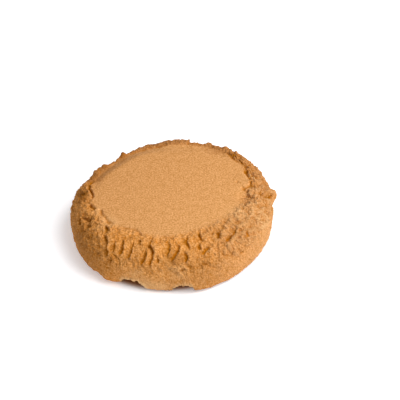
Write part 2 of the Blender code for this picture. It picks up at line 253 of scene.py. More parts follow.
# Small pits scattered over the rim: how many, and the ranges of their radii, their falls and their
# depths as shares of the radius
SCATTER_SEED = 21
SCATTERED_PITS = 160
SCATTERED_RADII = (0.3, 0.5)
SCATTERED_FALLS = (4, 105)
SCATTERED_DEPTHS = (0.5, 1.0)

# ---- Lumps, crags and breaks ----
# Lumps and hollows: (angle, fall, radius, height)
LUMPS = (
    (84, 22, 4.2, 0.8),
    (62, 27, 1.8, 0.9),
    (50, 32, 2.2, 0.6),
    (40, 20, 2.4, 0.9),
    (30, 28, 2.6, 0.8),
    (108, 18, 4.0, 0.5),
    (124, 12, 2.0, 0.7),
    (140, 28, 2.4, 1.1),
    (147, 26, 1.8, 0.9),
    (164, 16, 2.4, 0.9),
    (180, 34, 3.0, 0.7),
    (4.5, 79, 2.0, 2.1),
    (357.5, 76, 1.6, -0.7),
    (351, 74, 2.8, 0.9),
    (358, 52, 1.7, -1.6),
    (348, 6, 2.6, -0.5),
    (171, 38, 2.4, -0.9),
    (200, 32, 2.2, -0.8),
    (256, 82, 3.0, 0.5),
    (346, 7, 2.4, -0.7),
    (340, 14, 2.0, -0.5),
    (222, 44, 0.9, 0.5),
    (220, 21, 0.5, 0.5),
    (220, 48, 0.5, 0.4),
    (244, 70, 0.5, 0.5),
    (240, 79, 1.5, 0.5),
    (248, 23, 0.8, 0.4),
    (232, 55, 0.8, 0.3),
    (123, 7, 1.0, 1.2),
    (231, 128, 3.2, 1.3),
    (218, 110, 7.0, 0.5),
    (258, 128, 4.0, 0.6),
    (283, 128, 4.0, 0.5),
)

# The broken face of the rim at the right: the angle of the step it starts with, the turn that it
# takes from there, its falls and its depth
BROKEN_FROM = -1.0
BROKEN_TURN = (0.0, 49.0, 1.5, 15.0)
BROKEN_FALLS = (12.0, 66.0, 6.0, 14.0)
BROKEN_DEPTH = 0.9
BROKEN_WANDER = ((3.0, 2.0, 13),)

# The edge of the disc slopes down at the back: how deep and how wide the slope is, tables by angle,
# and the falls between which it runs out
WORN_DEPTHS = ((0, 0.0), (35, 0.0), (60, 1.0), (92, 1.0), (110, 2.0), (135, 2.0), (158, 0.8),
               (172, 0.0), (360, 0.0))
WORN_WIDTHS = ((0, 6.0), (130, 6.0), (155, 3.5), (360, 3.5))
WORN_RUNS_OUT = (35.0, 85.0)

# Chips out of the lower edge: (first angle, angle of the top, last angle, height, depth)
CHIPS = ((236.5, 240.5, 254.0, 3.7, 3.6), (266.5, 276.5, 279.2, 3.7, 3.6))
# Each is an arch, rounder at the shoulders than an ellipse, whose power is 2
ARCH_POWER = 2.5
ARCH_EDGE = 0.5
ARCH_RAGGEDNESS = 0.5
CHIP_RAGGED = ((1.0, 1.4, 8), (0.6, 0.7, 17))
# The distances from the middle between which the underside starts to follow a chip
CHIP_PULLS_IN = (25.5, 32.0)
# A thin lip of dough stands out over each chip: its height, its width, how far out it lies, and how
# far it reaches past the arch, which is 1 to each side
CHIP_LIP = 0.4
LIP_WIDTH = 0.7
LIP_REACH = 30.0
LIP_SPAN = 1.1

# Crumbly lumps in two sizes: how high they stand, a table by angle, the share that each size takes of
# that, what the small ones have everywhere, and the falls where they start and fade
CRAG_SIZE, CRAG_SEED = 3.4, 0
SMALL_CRAG_SIZE, SMALL_CRAG_SEED = 1.5, 2
CRAG_BIG, CRAG_SMALL = 0.65, 0.9
CRAG_LEAST = 0.1
CRAG_STARTS = (0.0, 12.0)
CRAG_FADES = (62.0, 92.0)
CRAG_HEIGHTS = ((0, 0.8), (20, 0.5), (45, 0.42), (60, 0.35), (90, 0.25), (110, 0.15), (150, 0.2),
                (170, 0.38), (205, 0.3), (225, 0.15), (235, 0.1), (280, 0.1), (295, 0.45),
                (330, 0.75), (350, 0.75), (360, 0.8))
# The mean height of such lumps, which is taken off so that they make the dough no thicker
LUMP_MEAN = 0.4

# How far each seed moves a noise along X, Y and Z, in sizes of its lumps
SEED_SHIFT = (17.3, 5.1, 9.7)

# ---- Grain ----
COARSE_GRAIN = ((0.35, 1.0, 9), (0.55, 0.55, 10))
ROLLING_GRAIN = ((0.40, 1.9, 16),)
CRUMB_SIZE, CRUMB_SEED = 0.9, 11
# Heights of the coarse grain on the rim and on the disc, and of the crumbs, which only the rim has
RIM_GRAIN, DISC_GRAIN = 0.42, 0.07
CRUMB_HEIGHT = 0.30
# Where the grain of the disc gives way to the rim's, as a distance out from the disc's edge
GRAIN_STEP = (-1.0, 1.5)
# How much smoother the dough is on the ridges, and at the back
RIDGE_CALM = 0.55
RIDGED_ANGLES = (215.0, 302.0, 12.0, 12.0)
RIDGED_FALLS = (16.0, 66.0, 8.0, 10.0)
BACK_CALM = 0.65
BACK_ANGLES = (40.0, 160.0, 15.0, 15.0)
# How much smoother it is low on the side, how much less so at the left, and how much rougher all of
# the left is
LOW_CALM, LOW_CALM_LESS_AT_LEFT = 0.45, 0.15
LOW_CALM_STEP = (62.0, 82.0)
LEFT_ROUGHER = 0.1
LEFT_ANGLES = (155.0, 240.0, 15.0, 15.0)
# Cracks, creases, crags and pits fade between these falls, so that the foot stays plain
RELIEF_FADES = (95.0, 125.0)
# The heights between which the lumps start, and the one below which a point is on the underside
ABOVE_FOOT = (0.0, 0.6)
UNDERSIDE_BELOW = 0.05

# ---- The cage of points that is subdivided ----
CAGE_POINTS = 88
# The fall of each ring that is drawn out from the edge of the disc
CAGE_FALLS = (10, 21, 32, 43, 54, 66, 78, 92, 125, 180)
SUBDIVISIONS = 3
# How far inside the foot the underside has a ring of its own
FOOT_INSET = 6.0
# Points whose heights differ by less than this, in metres, are level
LEVEL = 1e-6

# ---- The flat layout of the surface ----
# Lengths down the side: from the disc to the widest place, and on to the foot
TOP_SIDE_LENGTH = 14.5
LOW_SIDE_LENGTH = 6.0
# Radii of the two rounds, and the gap round them, as shares of the layout's width
TOP_ROUND = 0.41
UNDERSIDE_ROUND = 0.14
LAYOUT_GAP = 0.01
# Points lower than this lie on the table
ON_TABLE = 0.001

# ---- The colours of the dough ----
# The pale and the deep of each, which the grain mixes
PRESSED_PALE, PRESSED_DEEP = "E2A76D", "B37A3B"
RIM_PALE, RIM_DEEP = "F4B067", "C07008"
# The toasted colour, also used for painted shade on the disc and on some spots
TOAST_AND_SHADE_PALE, TOAST_AND_SHADE_DEEP = "CA8E54", "965A20"
# The browned underside's colour, darker than that, as it is also painted shade in the recess under each
# chip
UNDERSIDE_AND_SHADE_PALE, UNDERSIDE_AND_SHADE_DEEP = "84481A", "5A2E0C"
# Painted shade, with a darker bake on a few spots; painted shade and warm bounce light in the hollows,
# over a little browner dough; painted warm bounce light in the depth of the cracks; and painted
# highlights on lips and crests, with other paler spots
SHADE_AND_BAKED_DOUGH = "8C520E"
HOLLOW_SHADE_DOUGH = "A86608"
CRACK_BOUNCE_DOUGH = "DE8610"
PALE_AND_HIGHLIGHT_DOUGH = "F8D29A"

# How far the colour has turned from the pressed disc's to the rim's, a table by angle, and where that
# starts, as a distance out from the disc's edge
BROWNING = ((0, 0.3), (60, 0.4), (90, 0.4), (130, 0.5), (165, 1.0), (205, 1.15), (240, 1.15),
            (275, 1.0), (295, 0.6), (315, 0.2), (345, 0.1), (360, 0.3))
BROWNING_STEP = (-1.0, 3.0)
BROWNING_UNEVENNESS = ((0.3, 3.0, 12),)
# How much of it is lost on the band below the ridges, a table by angle, and on what stands out, which
# is a painted highlight
BAND_PALING = ((0, 0.5), (180, 0.2), (225, 0.1), (250, 0.15), (275, 0.35), (360, 0.5))
BAND_STEP = (50.0, 75.0)
CREST_HIGHLIGHT = 0.7
# How toasted the upper rim is, a table by angle, and where that starts and fades
TOAST = ((0, 0.2), (15, 0.5), (45, 0.7), (80, 0.95), (110, 1.0), (150, 0.5), (172, 0.1), (200, 0.0),
         (225, 0.0), (270, 0.0), (310, 0.1), (340, 0.1), (360, 0.3))
TOAST_STEP = (-0.5, 1.0)
TOAST_FADES = (60.0, 105.0)
TOAST_UNEVENNESS = ((0.3, 2.5, 14),)
# The pressed disc is painted a little darker away from this way, towards the back left: painted shade
# for the key light's fall-off across it, and partly a browner bake
DISC_SHADE_AND_TOAST = 0.2
PALEST_WAY = np.array((0.6, -0.8, 0.0))
DISC_SHADE_FADES = (-30.0, 30.0)
# Spots of colour: (angle, fall, radius, strength)
# Toasted spots, and painted shade: the dimple at the right and the back-left edge of the disc are
# painted darker
TOASTED_AND_SHADED_SPOTS = (
    (346, 9, 2.6, 0.5), (341, 18, 2.0, 0.1), (123, 7, 1.2, 2.5), (38, 9, 2.0, 0.4),
    (18, 10, 1.5, 0.3), (303, 68, 8.0, 0.2), (52, -0.01, 3.0, 0.7), (160, 3, 2.5, 0.5),
    (110, -0.01, 3.5, 0.3), (125, 0, 3.5, 0.5), (142, 0, 3.5, 0.6), (156, -0.02, 3.0, 0.4),
)
# Darker spots: most are painted shade, in the shadowed pocket at the left, along the back-left edge and
# low on the left; a few, such as the crumb, are really baked darker
SHADE_AND_BAKED_SPOTS = (
    (244, 56, 2.5, 0.12), (341.5, -0.03, 3.0, 0.1), (150, 7, 2.5, 0.25), (160, 7, 3.0, 0.3),
    (156, 3, 3.0, 0.25), (1, 42, 3.0, 0.18), (12, -0.10, 4.0, 0.1), (320, 58, 3.0, 0.08),
    (312, 43, 2.5, 0.1), (272, 90, 5.0, 0.08), (313, 42, 2.5, 0.14), (272, 104, 4.0, 0.1),
    (174, 25, 2.4, 0.6), (181, 22, 2.2, 0.8), (172, 38, 2.2, 0.5), (204.5, 38, 1.4, 0.15),
    (285, 58, 3.0, 0.25), (272, 46, 2.6, 0.45), (266, 48, 2.6, 0.3), (280, 45, 3.0, 0.15),
    (140, 3, 3.5, 0.35), (125, 5, 3.0, 0.3), (123, 7, 1.2, 0.7), (45, 8, 2.5, 0.25),
    (60, 4, 3.0, 0.2), (249.5, 31, 1.5, 0.3), (284, 113, 5.0, 0.12), (326, 42, 2.5, 0.15),
    (200, 60, 6.0, 0.25), (209, 78, 7.0, 0.3), (223, 85, 7.0, 0.3), (289, 80, 6.0, 0.2),
)
PALE_SPOTS = (
    (271, 69, 3.5, 0.18), (11, 11, 2.0, 0.2), (197, 8, 2.0, 0.15), (334, 63, 3.0, 0.12),
    (327, 12, 3.0, 0.12), (214, 8, 3.0, 0.2), (207, 22, 2.5, 0.05), (247, 95, 4.0, 0.15),
    (254, 122, 3.0, 0.3), (262, 122, 3.0, 0.25),
)
# Painted highlight: what stands out is painted paler round this angle, where the key light falls, and
# so is the lip over a chip, which is partly a pale crust
RIGHT_CREST_HIGHLIGHT = 0.25
HIGHLIGHT_ROUND, HIGHLIGHT_WITHIN = 340.0, 45.0
LIP_HIGHLIGHT = 0.5
# How far a place is painted darker orange brown, painted shade and warm bounce light over a little
# browner dough: for the shade in a crack and for each millimetre that it is sunk, past a least
CAVITY_BY_CRACK_SHADE, CAVITY_BY_DEPTH, CAVITY_LEAST = 0.85, 1.3, 0.12
# How far the depth of a crack is painted a brighter orange, painted warm bounce light, past a least
# shade
BOUNCE_BY_CRACK_SHADE, BOUNCE_LEAST = 1.4, 0.3
# The heights between which the underside's colour fades up the foot
FOOT_BROWNED = (0.0, 1.2)

# ---- The finish of the dough ----
# Flour and sugar grains are 0.1 to 0.5 mm. They are drawn a little coarser, so that they show: as
# pale and deep dots in the colour, and as a fine crumb on the surface.
COLOUR_GRAIN = 0.55
CRUMB_GRAIN = 0.6
# How far that crumb stands out, and its share on the pressed disc, which the stamp made smoother
CRUMB_RELIEF = 0.9
CRUMB_ON_DISC = 0.28
# Clouds of paler and deeper dough, and their share beside the grain
COLOUR_MOTTLE = 2.2
MOTTLE_SHARE = 0.22
# How many finer sizes each of these noises has, and their share
COLOUR_DETAIL, CRUMB_DETAIL = 2.0, 3.0
NOISE_ROUGHNESS = 0.6
# The part of a noise, about its middle, that is spread from 0 to 1
NOISE_LOW, NOISE_HIGH = 0.33, 0.67
# Baked dough is dry and matt, with hardly a shine
DOUGH_ROUGHNESS = 0.75
DOUGH_SPECULAR = 0.1

# ---- The camera: it looks down at the front from far away, tilted and rolled by these degrees ----
CAMERA_TILT = 38.0
CAMERA_ROLL = -4.5
CAMERA_DISTANCE = 500.0
PIXELS_PER_MM = 2.93
# The point of the cookie that is seen at this pixel of the picture
SEEN_POINT = (-0.55, -2.63, 7.0)
SEEN_AT_PIXEL = (172.5, 215.0)
IMAGE_SIZE = 400
SENSOR = 36.0
# The nearest that the camera sees, in metres
NEAREST_SEEN = 0.01

# ---- The table ----
TABLE, TABLE_BOUNCE_TINT = "F5F5F7", "DC9C58"
TABLE_ROUGHNESS = 0.9
# Its width, in metres
TABLE_SIZE = 6.0
# How much the table is painted to glow, painted light that also lights the cookie's foot, and the
# distances from the middle between which that starts; nearer in it does not glow, a painted contact
# shadow round the foot
TABLE_PAINTED_GLOW = 0.36
GLOW_FROM, GLOW_TO = 31.8, 34.6
# Near the foot the table is painted the dough's warm colour: painted bounce light from the dough in the
# shade there, which it also throws back up at the foot
BOUNCE_TINT_FROM, BOUNCE_TINT_TO = 31.0, 34.3

# ---- The light: white from all round, and a soft square light from the right ----
FILL_COLOUR = "FFFFFF"
FILL_STRENGTH = 0.40
# Which way it stands and how high, in degrees, how far away and how large, in metres, and its power
KEY_ANGLE = -20.0
KEY_RISE = 50.0
KEY_DISTANCE = 0.45
KEY_SIZE = 0.4
KEY_POWER = 2.75


def rise(value, start, end):
    """0 up to the start, 1 from the end on, and a soft step between."""
    share = np.clip((value - start) / (end - start), 0.0, 1.0)
    return share * share * (3.0 - 2.0 * share)


def fade(value, start, end):
    """1 up to the start, 0 from the end on, and a soft step between."""
    return 1.0 - rise(value, start, end)


def within(value, first, last, first_edge, last_edge):
    """1 inside a zone and 0 outside it, with a soft step inside each of its ends."""
    return rise(value - first, 0.0, first_edge) * rise(last - value, 0.0, last_edge)


def by_angle(table, angle):
    """The value at an angle of a table of (angle, value)."""
    angles, values = zip(*table)
    return np.interp(angle, angles, values)


def turn_between(angle, other):
    """How far an angle lies past another one, from -180 to 180."""
    return (angle - other + 180.0) % 360.0 - 180.0


def waves(table, angle):
    """The height at an angle of waves of (waves in a full turn, height, direction of one crest)."""
    return sum(height * np.cos(np.radians(count * (angle - crest))) for count, height, crest in table)


def body_radius(angle):
    """Distance from the middle to the side where it is widest."""
    return BODY_RADIUS + waves(OUTLINE_WAVES, angle)


def foot_stands_back(angle):
    """How far the foot stands back under the side."""
    return by_angle(FOOT_STANDS_BACK, angle % 360.0)


def disc_radius(angle):
    """Distance from the middle to the edge of the disc, which is an ellipse off the middle."""
    way_x = np.cos(np.radians(angle)) / DISC_HALF_WIDTH
    way_y = np.sin(np.radians(angle)) / DISC_HALF_DEPTH
    start_x = -DISC_CENTRE[0] / DISC_HALF_WIDTH
    start_y = -DISC_CENTRE[1] / DISC_HALF_DEPTH
    square = way_x * way_x + way_y * way_y
    half = way_x * start_x + way_y * start_y
    rest = start_x * start_x + start_y * start_y - 1.0
    return (-half + np.sqrt(half * half - square * rest)) / square + waves(DISC_WAVES, angle)


def smooth_place(angle, fall):
    """Distance from the middle and height of the form, without relief."""
    edge = disc_radius(angle)
    girth = body_radius(angle)
    turn = math.radians(fall)
    if fall <= 90.0:
        height = GIRTH_HEIGHT + (DISC_HEIGHT - GIRTH_HEIGHT) * math.cos(turn)
        return edge + (girth - edge) * math.sin(turn), height
    reach = girth - foot_stands_back(angle) * (1.0 - math.sin(turn))
    return reach, GIRTH_HEIGHT * (1.0 + math.cos(turn))


# ---------------------------------------------------------------- the pat of dough


def lay_ring(mesh, fall):
    """Lays the selected ring of points on the form at one fall."""
    bm = bmesh.from_edit_mesh(mesh)
    for vert in bm.verts:
        if vert.select:
            angle = math.degrees(math.atan2(vert.co.y, vert.co.x))
            reach, height = smooth_place(angle, fall)
            vert.co = Vector((vert.co.x, vert.co.y, 0.0)).normalized() * reach * MM
            vert.co.z = height * MM
    bmesh.update_edit_mesh(mesh)


def select_at_height(mesh, height):
    """Selects the edges that lie at a height, in millimetres."""
    bm = bmesh.from_edit_mesh(mesh)
    for vert in bm.verts:
        vert.select = abs(vert.co.z - height * MM) < LEVEL
    bm.select_flush_mode()
    for edge in bm.edges:
        edge.select = all(vert.select for vert in edge.verts)
    bmesh.update_edit_mesh(mesh)


def make_pat():
    """The uneven round of dough, without its relief."""
    bpy.ops.object.select_all(action="DESELECT")
    bpy.ops.mesh.primitive_circle_add(vertices=CAGE_POINTS, radius=DISC_HALF_WIDTH * MM)
    pat = bpy.context.object
    pat.name = "baked_cookie"
    mesh = pat.data
    mesh.name = "baked_cookie"
    bpy.ops.object.mode_set(mode="EDIT")
    bpy.ops.mesh.select_mode(type="VERT")
    bpy.ops.mesh.select_all(action="SELECT")
    lay_ring(mesh, 0.0)
    for fall in CAGE_FALLS:
        bpy.ops.mesh.extrude_edges_move()
        lay_ring(mesh, fall)
    bpy.ops.mesh.edge_face_add()
    bpy.ops.mesh.inset(thickness=FOOT_INSET * MM)
    bpy.ops.mesh.select_all(action="DESELECT")
    select_at_height(mesh, DISC_HEIGHT)
    bpy.ops.mesh.fill_grid(span=CAGE_POINTS // 4)
    bpy.ops.mesh.select_all(action="SELECT")
    bpy.ops.mesh.normals_make_consistent(inside=False)
    bpy.ops.object.mode_set(mode="OBJECT")
    bpy.ops.object.modifier_add(type="SUBSURF")
    finer = pat.modifiers[-1]
    finer.levels = SUBDIVISIONS
    finer.render_levels = SUBDIVISIONS
    bpy.ops.object.modifier_apply(modifier=finer.name)
    bpy.ops.object.shade_smooth()
    return pat


class Places:
    """Where each point of the pat lies: its place in millimetres, its angle and its fall."""

    def __init__(self, mesh):
        flat = np.empty(len(mesh.vertices) * 3, dtype=np.float32)
        mesh.vertices.foreach_get("co", flat)
        self.place = flat.reshape(-1, 3).astype(float) / MM
        across, deep, height = self.place.T
        self.height = height
        self.reach = np.hypot(across, deep)
        self.angle = np.degrees(np.arctan2(deep, across)) % 360.0
        self.edge = disc_radius(self.angle)
        self.outward = self.reach - self.edge
        outward_share = self.outward / (body_radius(self.angle) - self.edge)
        upward_share = (height - GIRTH_HEIGHT) / (DISC_HEIGHT - GIRTH_HEIGHT)
        on_shoulder = np.degrees(np.arctan2(np.maximum(outward_share, 0.0), upward_share))
        below = np.degrees(np.arccos(np.clip(height / GIRTH_HEIGHT - 1.0, -1.0, 1.0)))
        on_side = np.where(height >= GIRTH_HEIGHT, on_shoulder, below)
        on_disc = (self.reach < self.edge) & (height > GIRTH_HEIGHT)
        self.fall = np.where(on_disc, self.reach / self.edge - 1.0, on_side)
        mesh.vertex_normals.foreach_get("vector", flat)
        self.normal = flat.reshape(-1, 3).astype(float)
        self.vectors = [Vector(place) for place in self.place]

    def soft_noise(self, size, seed):
        """Soft noise from -1 to 1 in lumps of about this size; the seed shifts it."""
        shift = Vector([seed * step for step in SEED_SHIFT])
        return np.array([noise.noise(vector / size + shift) for vector in self.vectors])

    def noise(self, table):
        """The sum of noises of (height, size, seed)."""
        return sum(height * self.soft_noise(size, seed) for height, size, seed in table)

    def lumps(self, size, seed):
        """Rounded lumps of uneven size with narrow valleys between them, about their mean height."""
        return np.minimum(2.0 * np.abs(self.soft_noise(size, seed)), 1.0) - LUMP_MEAN


# ---------------------------------------------------------------- relief, in millimetres


def place_on_form(angle, fall):
    """A point of the smooth form in millimetres."""
    if fall < 0.0:
        reach, height = disc_radius(angle) * (1.0 + fall), DISC_HEIGHT
    else:
        reach, height = smooth_place(angle, fall)
    turn = math.radians(angle)
    return np.array((reach * math.cos(turn), reach * math.sin(turn), height))


def near_path(at, places, reach):
    """The points within reach of a row of places: (their indices, distance, side, share of the way).

    The side is 1 to the right of the path and -1 to its left, seen from outside with the path
    running down.
    """
    points = [place_on_form(*place) for place in places]
    middle = sum(points) / len(points)
    length = sum(np.linalg.norm(end - start) for start, end in zip(points, points[1:]))
    near = np.flatnonzero(np.linalg.norm(at.place - middle, axis=1) < length + reach)
    place = at.place[near]
    normal = at.normal[near]
    nearest = np.full(len(near), np.inf)
    side = np.ones(len(near))
    way = np.zeros(len(near))
    gone = 0.0
    for start, end in zip(points, points[1:]):
        along = end - start
        share = np.clip((place - start) @ along / (along @ along), 0.0, 1.0)
        apart = place - start - share[:, None] * along
        distance = np.linalg.norm(apart, axis=1)
        closer = distance < nearest
        nearest = np.where(closer, distance, nearest)
        turned = np.sign(np.sum(np.cross(normal, along) * apart, axis=1))
        side = np.where(closer, turned, side)
        way = np.where(closer, (gone + share * np.linalg.norm(along)) / length, way)
        gone += np.linalg.norm(along)
    return near, nearest, side, way


def round_off(distance, width):
    """1 in the middle, falling softly to 0 over about this width."""
    return np.exp(-(distance / width) ** 2)


def random_cracks():
    """Shallow cracks drawn by chance, each bowed in the middle."""
    draw = random.Random(SPLIT_SEED)
    cracks = []
    angle = SPLIT_FROM
    while angle < SPLIT_TO:
        top = draw.uniform(*SPLIT_TOPS)
        lean = draw.uniform(*SPLIT_LEANS)
        length = draw.uniform(*SPLIT_LENGTHS)
        bow = draw.uniform(*SPLIT_BOWS)
        depth = draw.uniform(*SPLIT_DEPTHS)
        middle = (angle + lean / 2 + bow, top + length / 2)
        cracks.append((depth, ((angle, top), middle, (angle + lean, top + length))))
        angle += draw.uniform(*SPLIT_SPACING)
    return tuple(cracks)


def crack_relief(at):
    """Cracks, each with a long left flank, a steep right wall and a crest beside it; and their painted
    shade.
    """
    wander = at.noise(CRACK_WANDER)
    uneven = 1.0 + at.noise(CRACK_UNEVENNESS)
    deepest = np.zeros(len(at.place))
    crest = np.zeros(len(at.place))
    crack_shade = np.zeros(len(at.place))
    for depth, places in RIDGE_CRACKS + random_cracks():
        near, distance, side, way = near_path(at, places, CRACK_REACH)
        across = distance * side + wander[near]
        on_left = across < 0.0
        leftward = across.clip(None, 0.0)
        full = rise(way, 0.0, DEEPENS) * rise(1.0 - way, 0.0, SHALLOWS)
        deep = depth * (END_DEPTH + (1.0 - END_DEPTH) * full) * uneven[near]
        past_ends = np.where((way <= 0.0) | (way >= 1.0), round_off(distance, RUNS_ON), 1.0)
        floor = FLOOR_SHARE * round_off(across, CRACK_FLOOR)
        flank = (1.0 - FLOOR_SHARE) * np.exp(leftward / (FLANK_WIDTH + FLANK_WIDENS * way))
        wall = round_off(across, CRACK_WALL)
        groove = np.where(on_left, floor + flank, wall) * past_ends
        deepest[near] = np.maximum(deepest[near], CRACK_DEPTH * deep * groove)
        # Painted shade: darkest on the left flank, where the crest casts its shadow, and on the right
        # wall
        shade = np.exp(leftward / (CRACK_SHADE_WIDTH + CRACK_SHADE_WIDENS * way))
        dark = np.where(on_left, shade, wall) * past_ends
        crack_shade[near] = np.maximum(crack_shade[near], deep * dark)
        beside = np.exp(-across.clip(0.0) / CREST_WIDTH) * (1.0 - wall) * (across > 0.0) * past_ends
        crest[near] = np.maximum(crest[near], RIDGE_CREST * deep * beside)
    return crest - deepest, crack_shade


def crease_relief(at):
    """Narrow creases that follow a row of places."""
    uneven = 1.0 + at.noise(CREASE_UNEVENNESS)
    deepest = np.zeros(len(at.place))
    for depth, half_width, places in CREASES:
        near, distance, _, _ = near_path(at, places, CREASE_REACH)
        width = CREASE_WIDTH * half_width * uneven[near]
        deepest[near] = np.maximum(deepest[near], depth * uneven[near] * round_off(distance, width))
    return -deepest


def broken_relief(at):
    """The broken face at the right: its front side is a step, the others run out."""
    turn = turn_between(at.angle, BROKEN_FROM) + at.noise(BROKEN_WANDER)
    broken = within(turn, *BROKEN_TURN) * within(at.fall, *BROKEN_FALLS)
    return -BROKEN_DEPTH * broken


def worn_relief(at):
    """The slope at the edge of the pressed disc, which runs out down the rim."""
    depth = by_angle(WORN_DEPTHS, at.angle)
    inward = rise(at.outward / by_angle(WORN_WIDTHS, at.angle), -1.0, 0.0)
    return -depth * inward * fade(at.fall, *WORN_RUNS_OUT)


def spots(at, table):
    """Soft round spots: the sum of a table's (angle, fall, radius, strength)."""
    total = np.zeros(len(at.angle))
    for angle, fall, radius, strength in table:
        distance = np.linalg.norm(at.place - place_on_form(angle, fall), axis=1)
        total += strength * round_off(distance, radius)
    return total


def crag_relief(at):
    """Crumbly lumps with sharp valleys between them, in two sizes."""
    standing = by_angle(CRAG_HEIGHTS, at.angle)
    big = CRAG_BIG * standing * at.lumps(CRAG_SIZE, CRAG_SEED)
    small = (CRAG_LEAST + CRAG_SMALL * standing) * at.lumps(SMALL_CRAG_SIZE, SMALL_CRAG_SEED)
    return rise(at.fall, *CRAG_STARTS) * fade(at.fall, *CRAG_FADES) * (big + small)


def chip_inset(at):
    """How far the lower edge is broken back, each chip a ragged arch, and the lip over each arch."""
    inset = np.zeros(len(at.angle))
    lip = np.zeros(len(at.angle))
    ragged = ARCH_RAGGEDNESS * at.noise(CHIP_RAGGED)
    for first, highest, last, top, deep in CHIPS:
        half = np.where(at.angle < highest, highest - first, last - highest)
        across = np.abs(at.angle - highest) / half
        arch = top * np.sqrt(np.clip(1.0 - across ** ARCH_POWER, 0.0, 1.0))
        arch = arch + ragged * (across < 1.0)
        inset += deep * rise(arch - at.height, 0.0, ARCH_EDGE) * (across < 1.0)
        above = at.height - arch
        lip += round_off(above, LIP_WIDTH) * (above > 0.0) * (across < LIP_SPAN)
    return inset * rise(at.reach, *CHIP_PULLS_IN), lip * (at.reach > LIP_REACH)


def grain_relief(at):
    """The granular surface of baked dough: coarse on the rim, fine on the pressed disc."""
    coarse = at.noise(COARSE_GRAIN)
    on_rim = rise(at.outward, *GRAIN_STEP)
    left = within(at.angle, *LEFT_ANGLES)
    low_down = rise(at.fall, *LOW_CALM_STEP)
    ridged = within(at.angle, *RIDGED_ANGLES) * within(at.fall, *RIDGED_FALLS)
    height = 1.0 - (LOW_CALM - LOW_CALM_LESS_AT_LEFT * left) * low_down
    height = height * (1.0 + LEFT_ROUGHER * left)
    height = height * (1.0 - RIDGE_CALM * ridged) * (1.0 - BACK_CALM * within(at.angle, *BACK_ANGLES))
    crumbs = CRUMB_HEIGHT * at.lumps(CRUMB_SIZE, CRUMB_SEED)
    rough = on_rim * height * (RIM_GRAIN * coarse + crumbs + at.noise(ROLLING_GRAIN))
    fine = DISC_GRAIN * (1.0 - on_rim) * coarse
    return np.where(at.height < UNDERSIDE_BELOW, 0.0, rough + fine)


def pit_relief(at):
    """The pits in set places, and small ones scattered over the rim."""
    draw = random.Random(SCATTER_SEED)
    pits = list(PITS)
    for _ in range(SCATTERED_PITS):
        radius = draw.uniform(*SCATTERED_RADII)
        angle = draw.uniform(0, 360)
        fall = draw.uniform(*SCATTERED_FALLS)
        pits.append((angle, fall, radius, radius * draw.uniform(*SCATTERED_DEPTHS)))
    uneven = 1.0 + at.noise(PIT_UNEVENNESS)
    deepest = np.zeros(len(at.place))
    for angle, fall, radius, depth in pits:
        distance = np.linalg.norm(at.place - place_on_form(angle, fall), axis=1)
        hollow = round_off(distance * uneven, radius)
        deepest = np.maximum(deepest, PIT_DEPTH * depth * hollow)
    return -deepest


def displace(piece, name, amount, direction="NORMAL"):
    """Raises the surface by a painted amount, in millimetres, and sinks it where that is negative."""
    for sign, side in ((1.0, "raised"), (-1.0, "sunk")):
        painted = np.clip(amount * sign, 0.0, None)
        most = painted.max()
        if most <= 0.0:
            continue
        group = piece.vertex_groups.new(name=f"{name}_{side}")
        for index in np.flatnonzero(painted > 0.0):
            group.add([int(index)], float(painted[index] / most), "REPLACE")
        bpy.ops.object.modifier_add(type="DISPLACE")
        press = piece.modifiers[-1]
        press.vertex_group = group.name
        press.direction = direction
        press.mid_level = 0.0
        press.strength = sign * most * MM
        bpy.ops.object.modifier_apply(modifier=press.name)
    piece.data.update()


def work_the_dough(pat):
    """All relief of the cookie, largest forms first, and the numbers that its colour follows."""
    at = Places(pat.data)
    lay_out_surface(pat, at)
    fading = fade(at.fall, *RELIEF_FADES)
    cracks, crack_shade = crack_relief(at)
    chips, lip = chip_inset(at)
    lumps = spots(at, LUMPS) * rise(at.height, *ABOVE_FOOT)
    form = lumps + worn_relief(at) + broken_relief(at) * fading
    fine = (cracks * (at.fall > 0.0) + crease_relief(at) + crag_relief(at)) * fading
    grain = grain_relief(at) + pit_relief(at) * fading
    displace(pat, "chips_x", -chips * np.cos(np.radians(at.angle)), "X")
    displace(pat, "chips_y", -chips * np.sin(np.radians(at.angle)), "Y")
    displace(pat, "form", form + CHIP_LIP * lip)
    displace(pat, "cracks", fine)
    displace(pat, "grain", grain)
    paint_dough(pat.data, at, crack_shade * fading, fine + grain, chips, lip)


# ---------------------------------------------------------------- what the colour follows


def paint(mesh, name, values):
    """Keeps one number from 0 to 1 for each point, for the material to read."""
    attribute = mesh.attributes.new(name, "FLOAT", "POINT")
    attribute.data.foreach_set("value", np.clip(values, 0.0, 1.0).astype(np.float32))


def rim_browning(at, rim, raised):
    """How far the dough has turned from the disc's colour to the rim's, less a painted highlight on
    crests.
    """
    kept = 1.0 - by_angle(BAND_PALING, at.angle) * rise(at.fall, *BAND_STEP)
    around = by_angle(BROWNING, at.angle) * kept
    return around * rim * (1.0 + at.noise(BROWNING_UNEVENNESS)) - CREST_HIGHLIGHT * raised


def toast_and_shade_share(at, rim):
    """The browned upper rim and spots, with painted shade on the disc and on some spots."""
    on_rim = by_angle(TOAST, at.angle) * rise(at.outward, *TOAST_STEP) * fade(at.fall, *TOAST_FADES)
    on_rim = on_rim * (1.0 + at.noise(TOAST_UNEVENNESS))
    # Painted shade: the disc is painted darker away from the key light
    on_disc = DISC_SHADE_AND_TOAST * fade(at.place @ PALEST_WAY, *DISC_SHADE_FADES) * (1.0 - rim)
    return np.clip(on_rim + on_disc + spots(at, TOASTED_AND_SHADED_SPOTS), 0.0, 1.0)


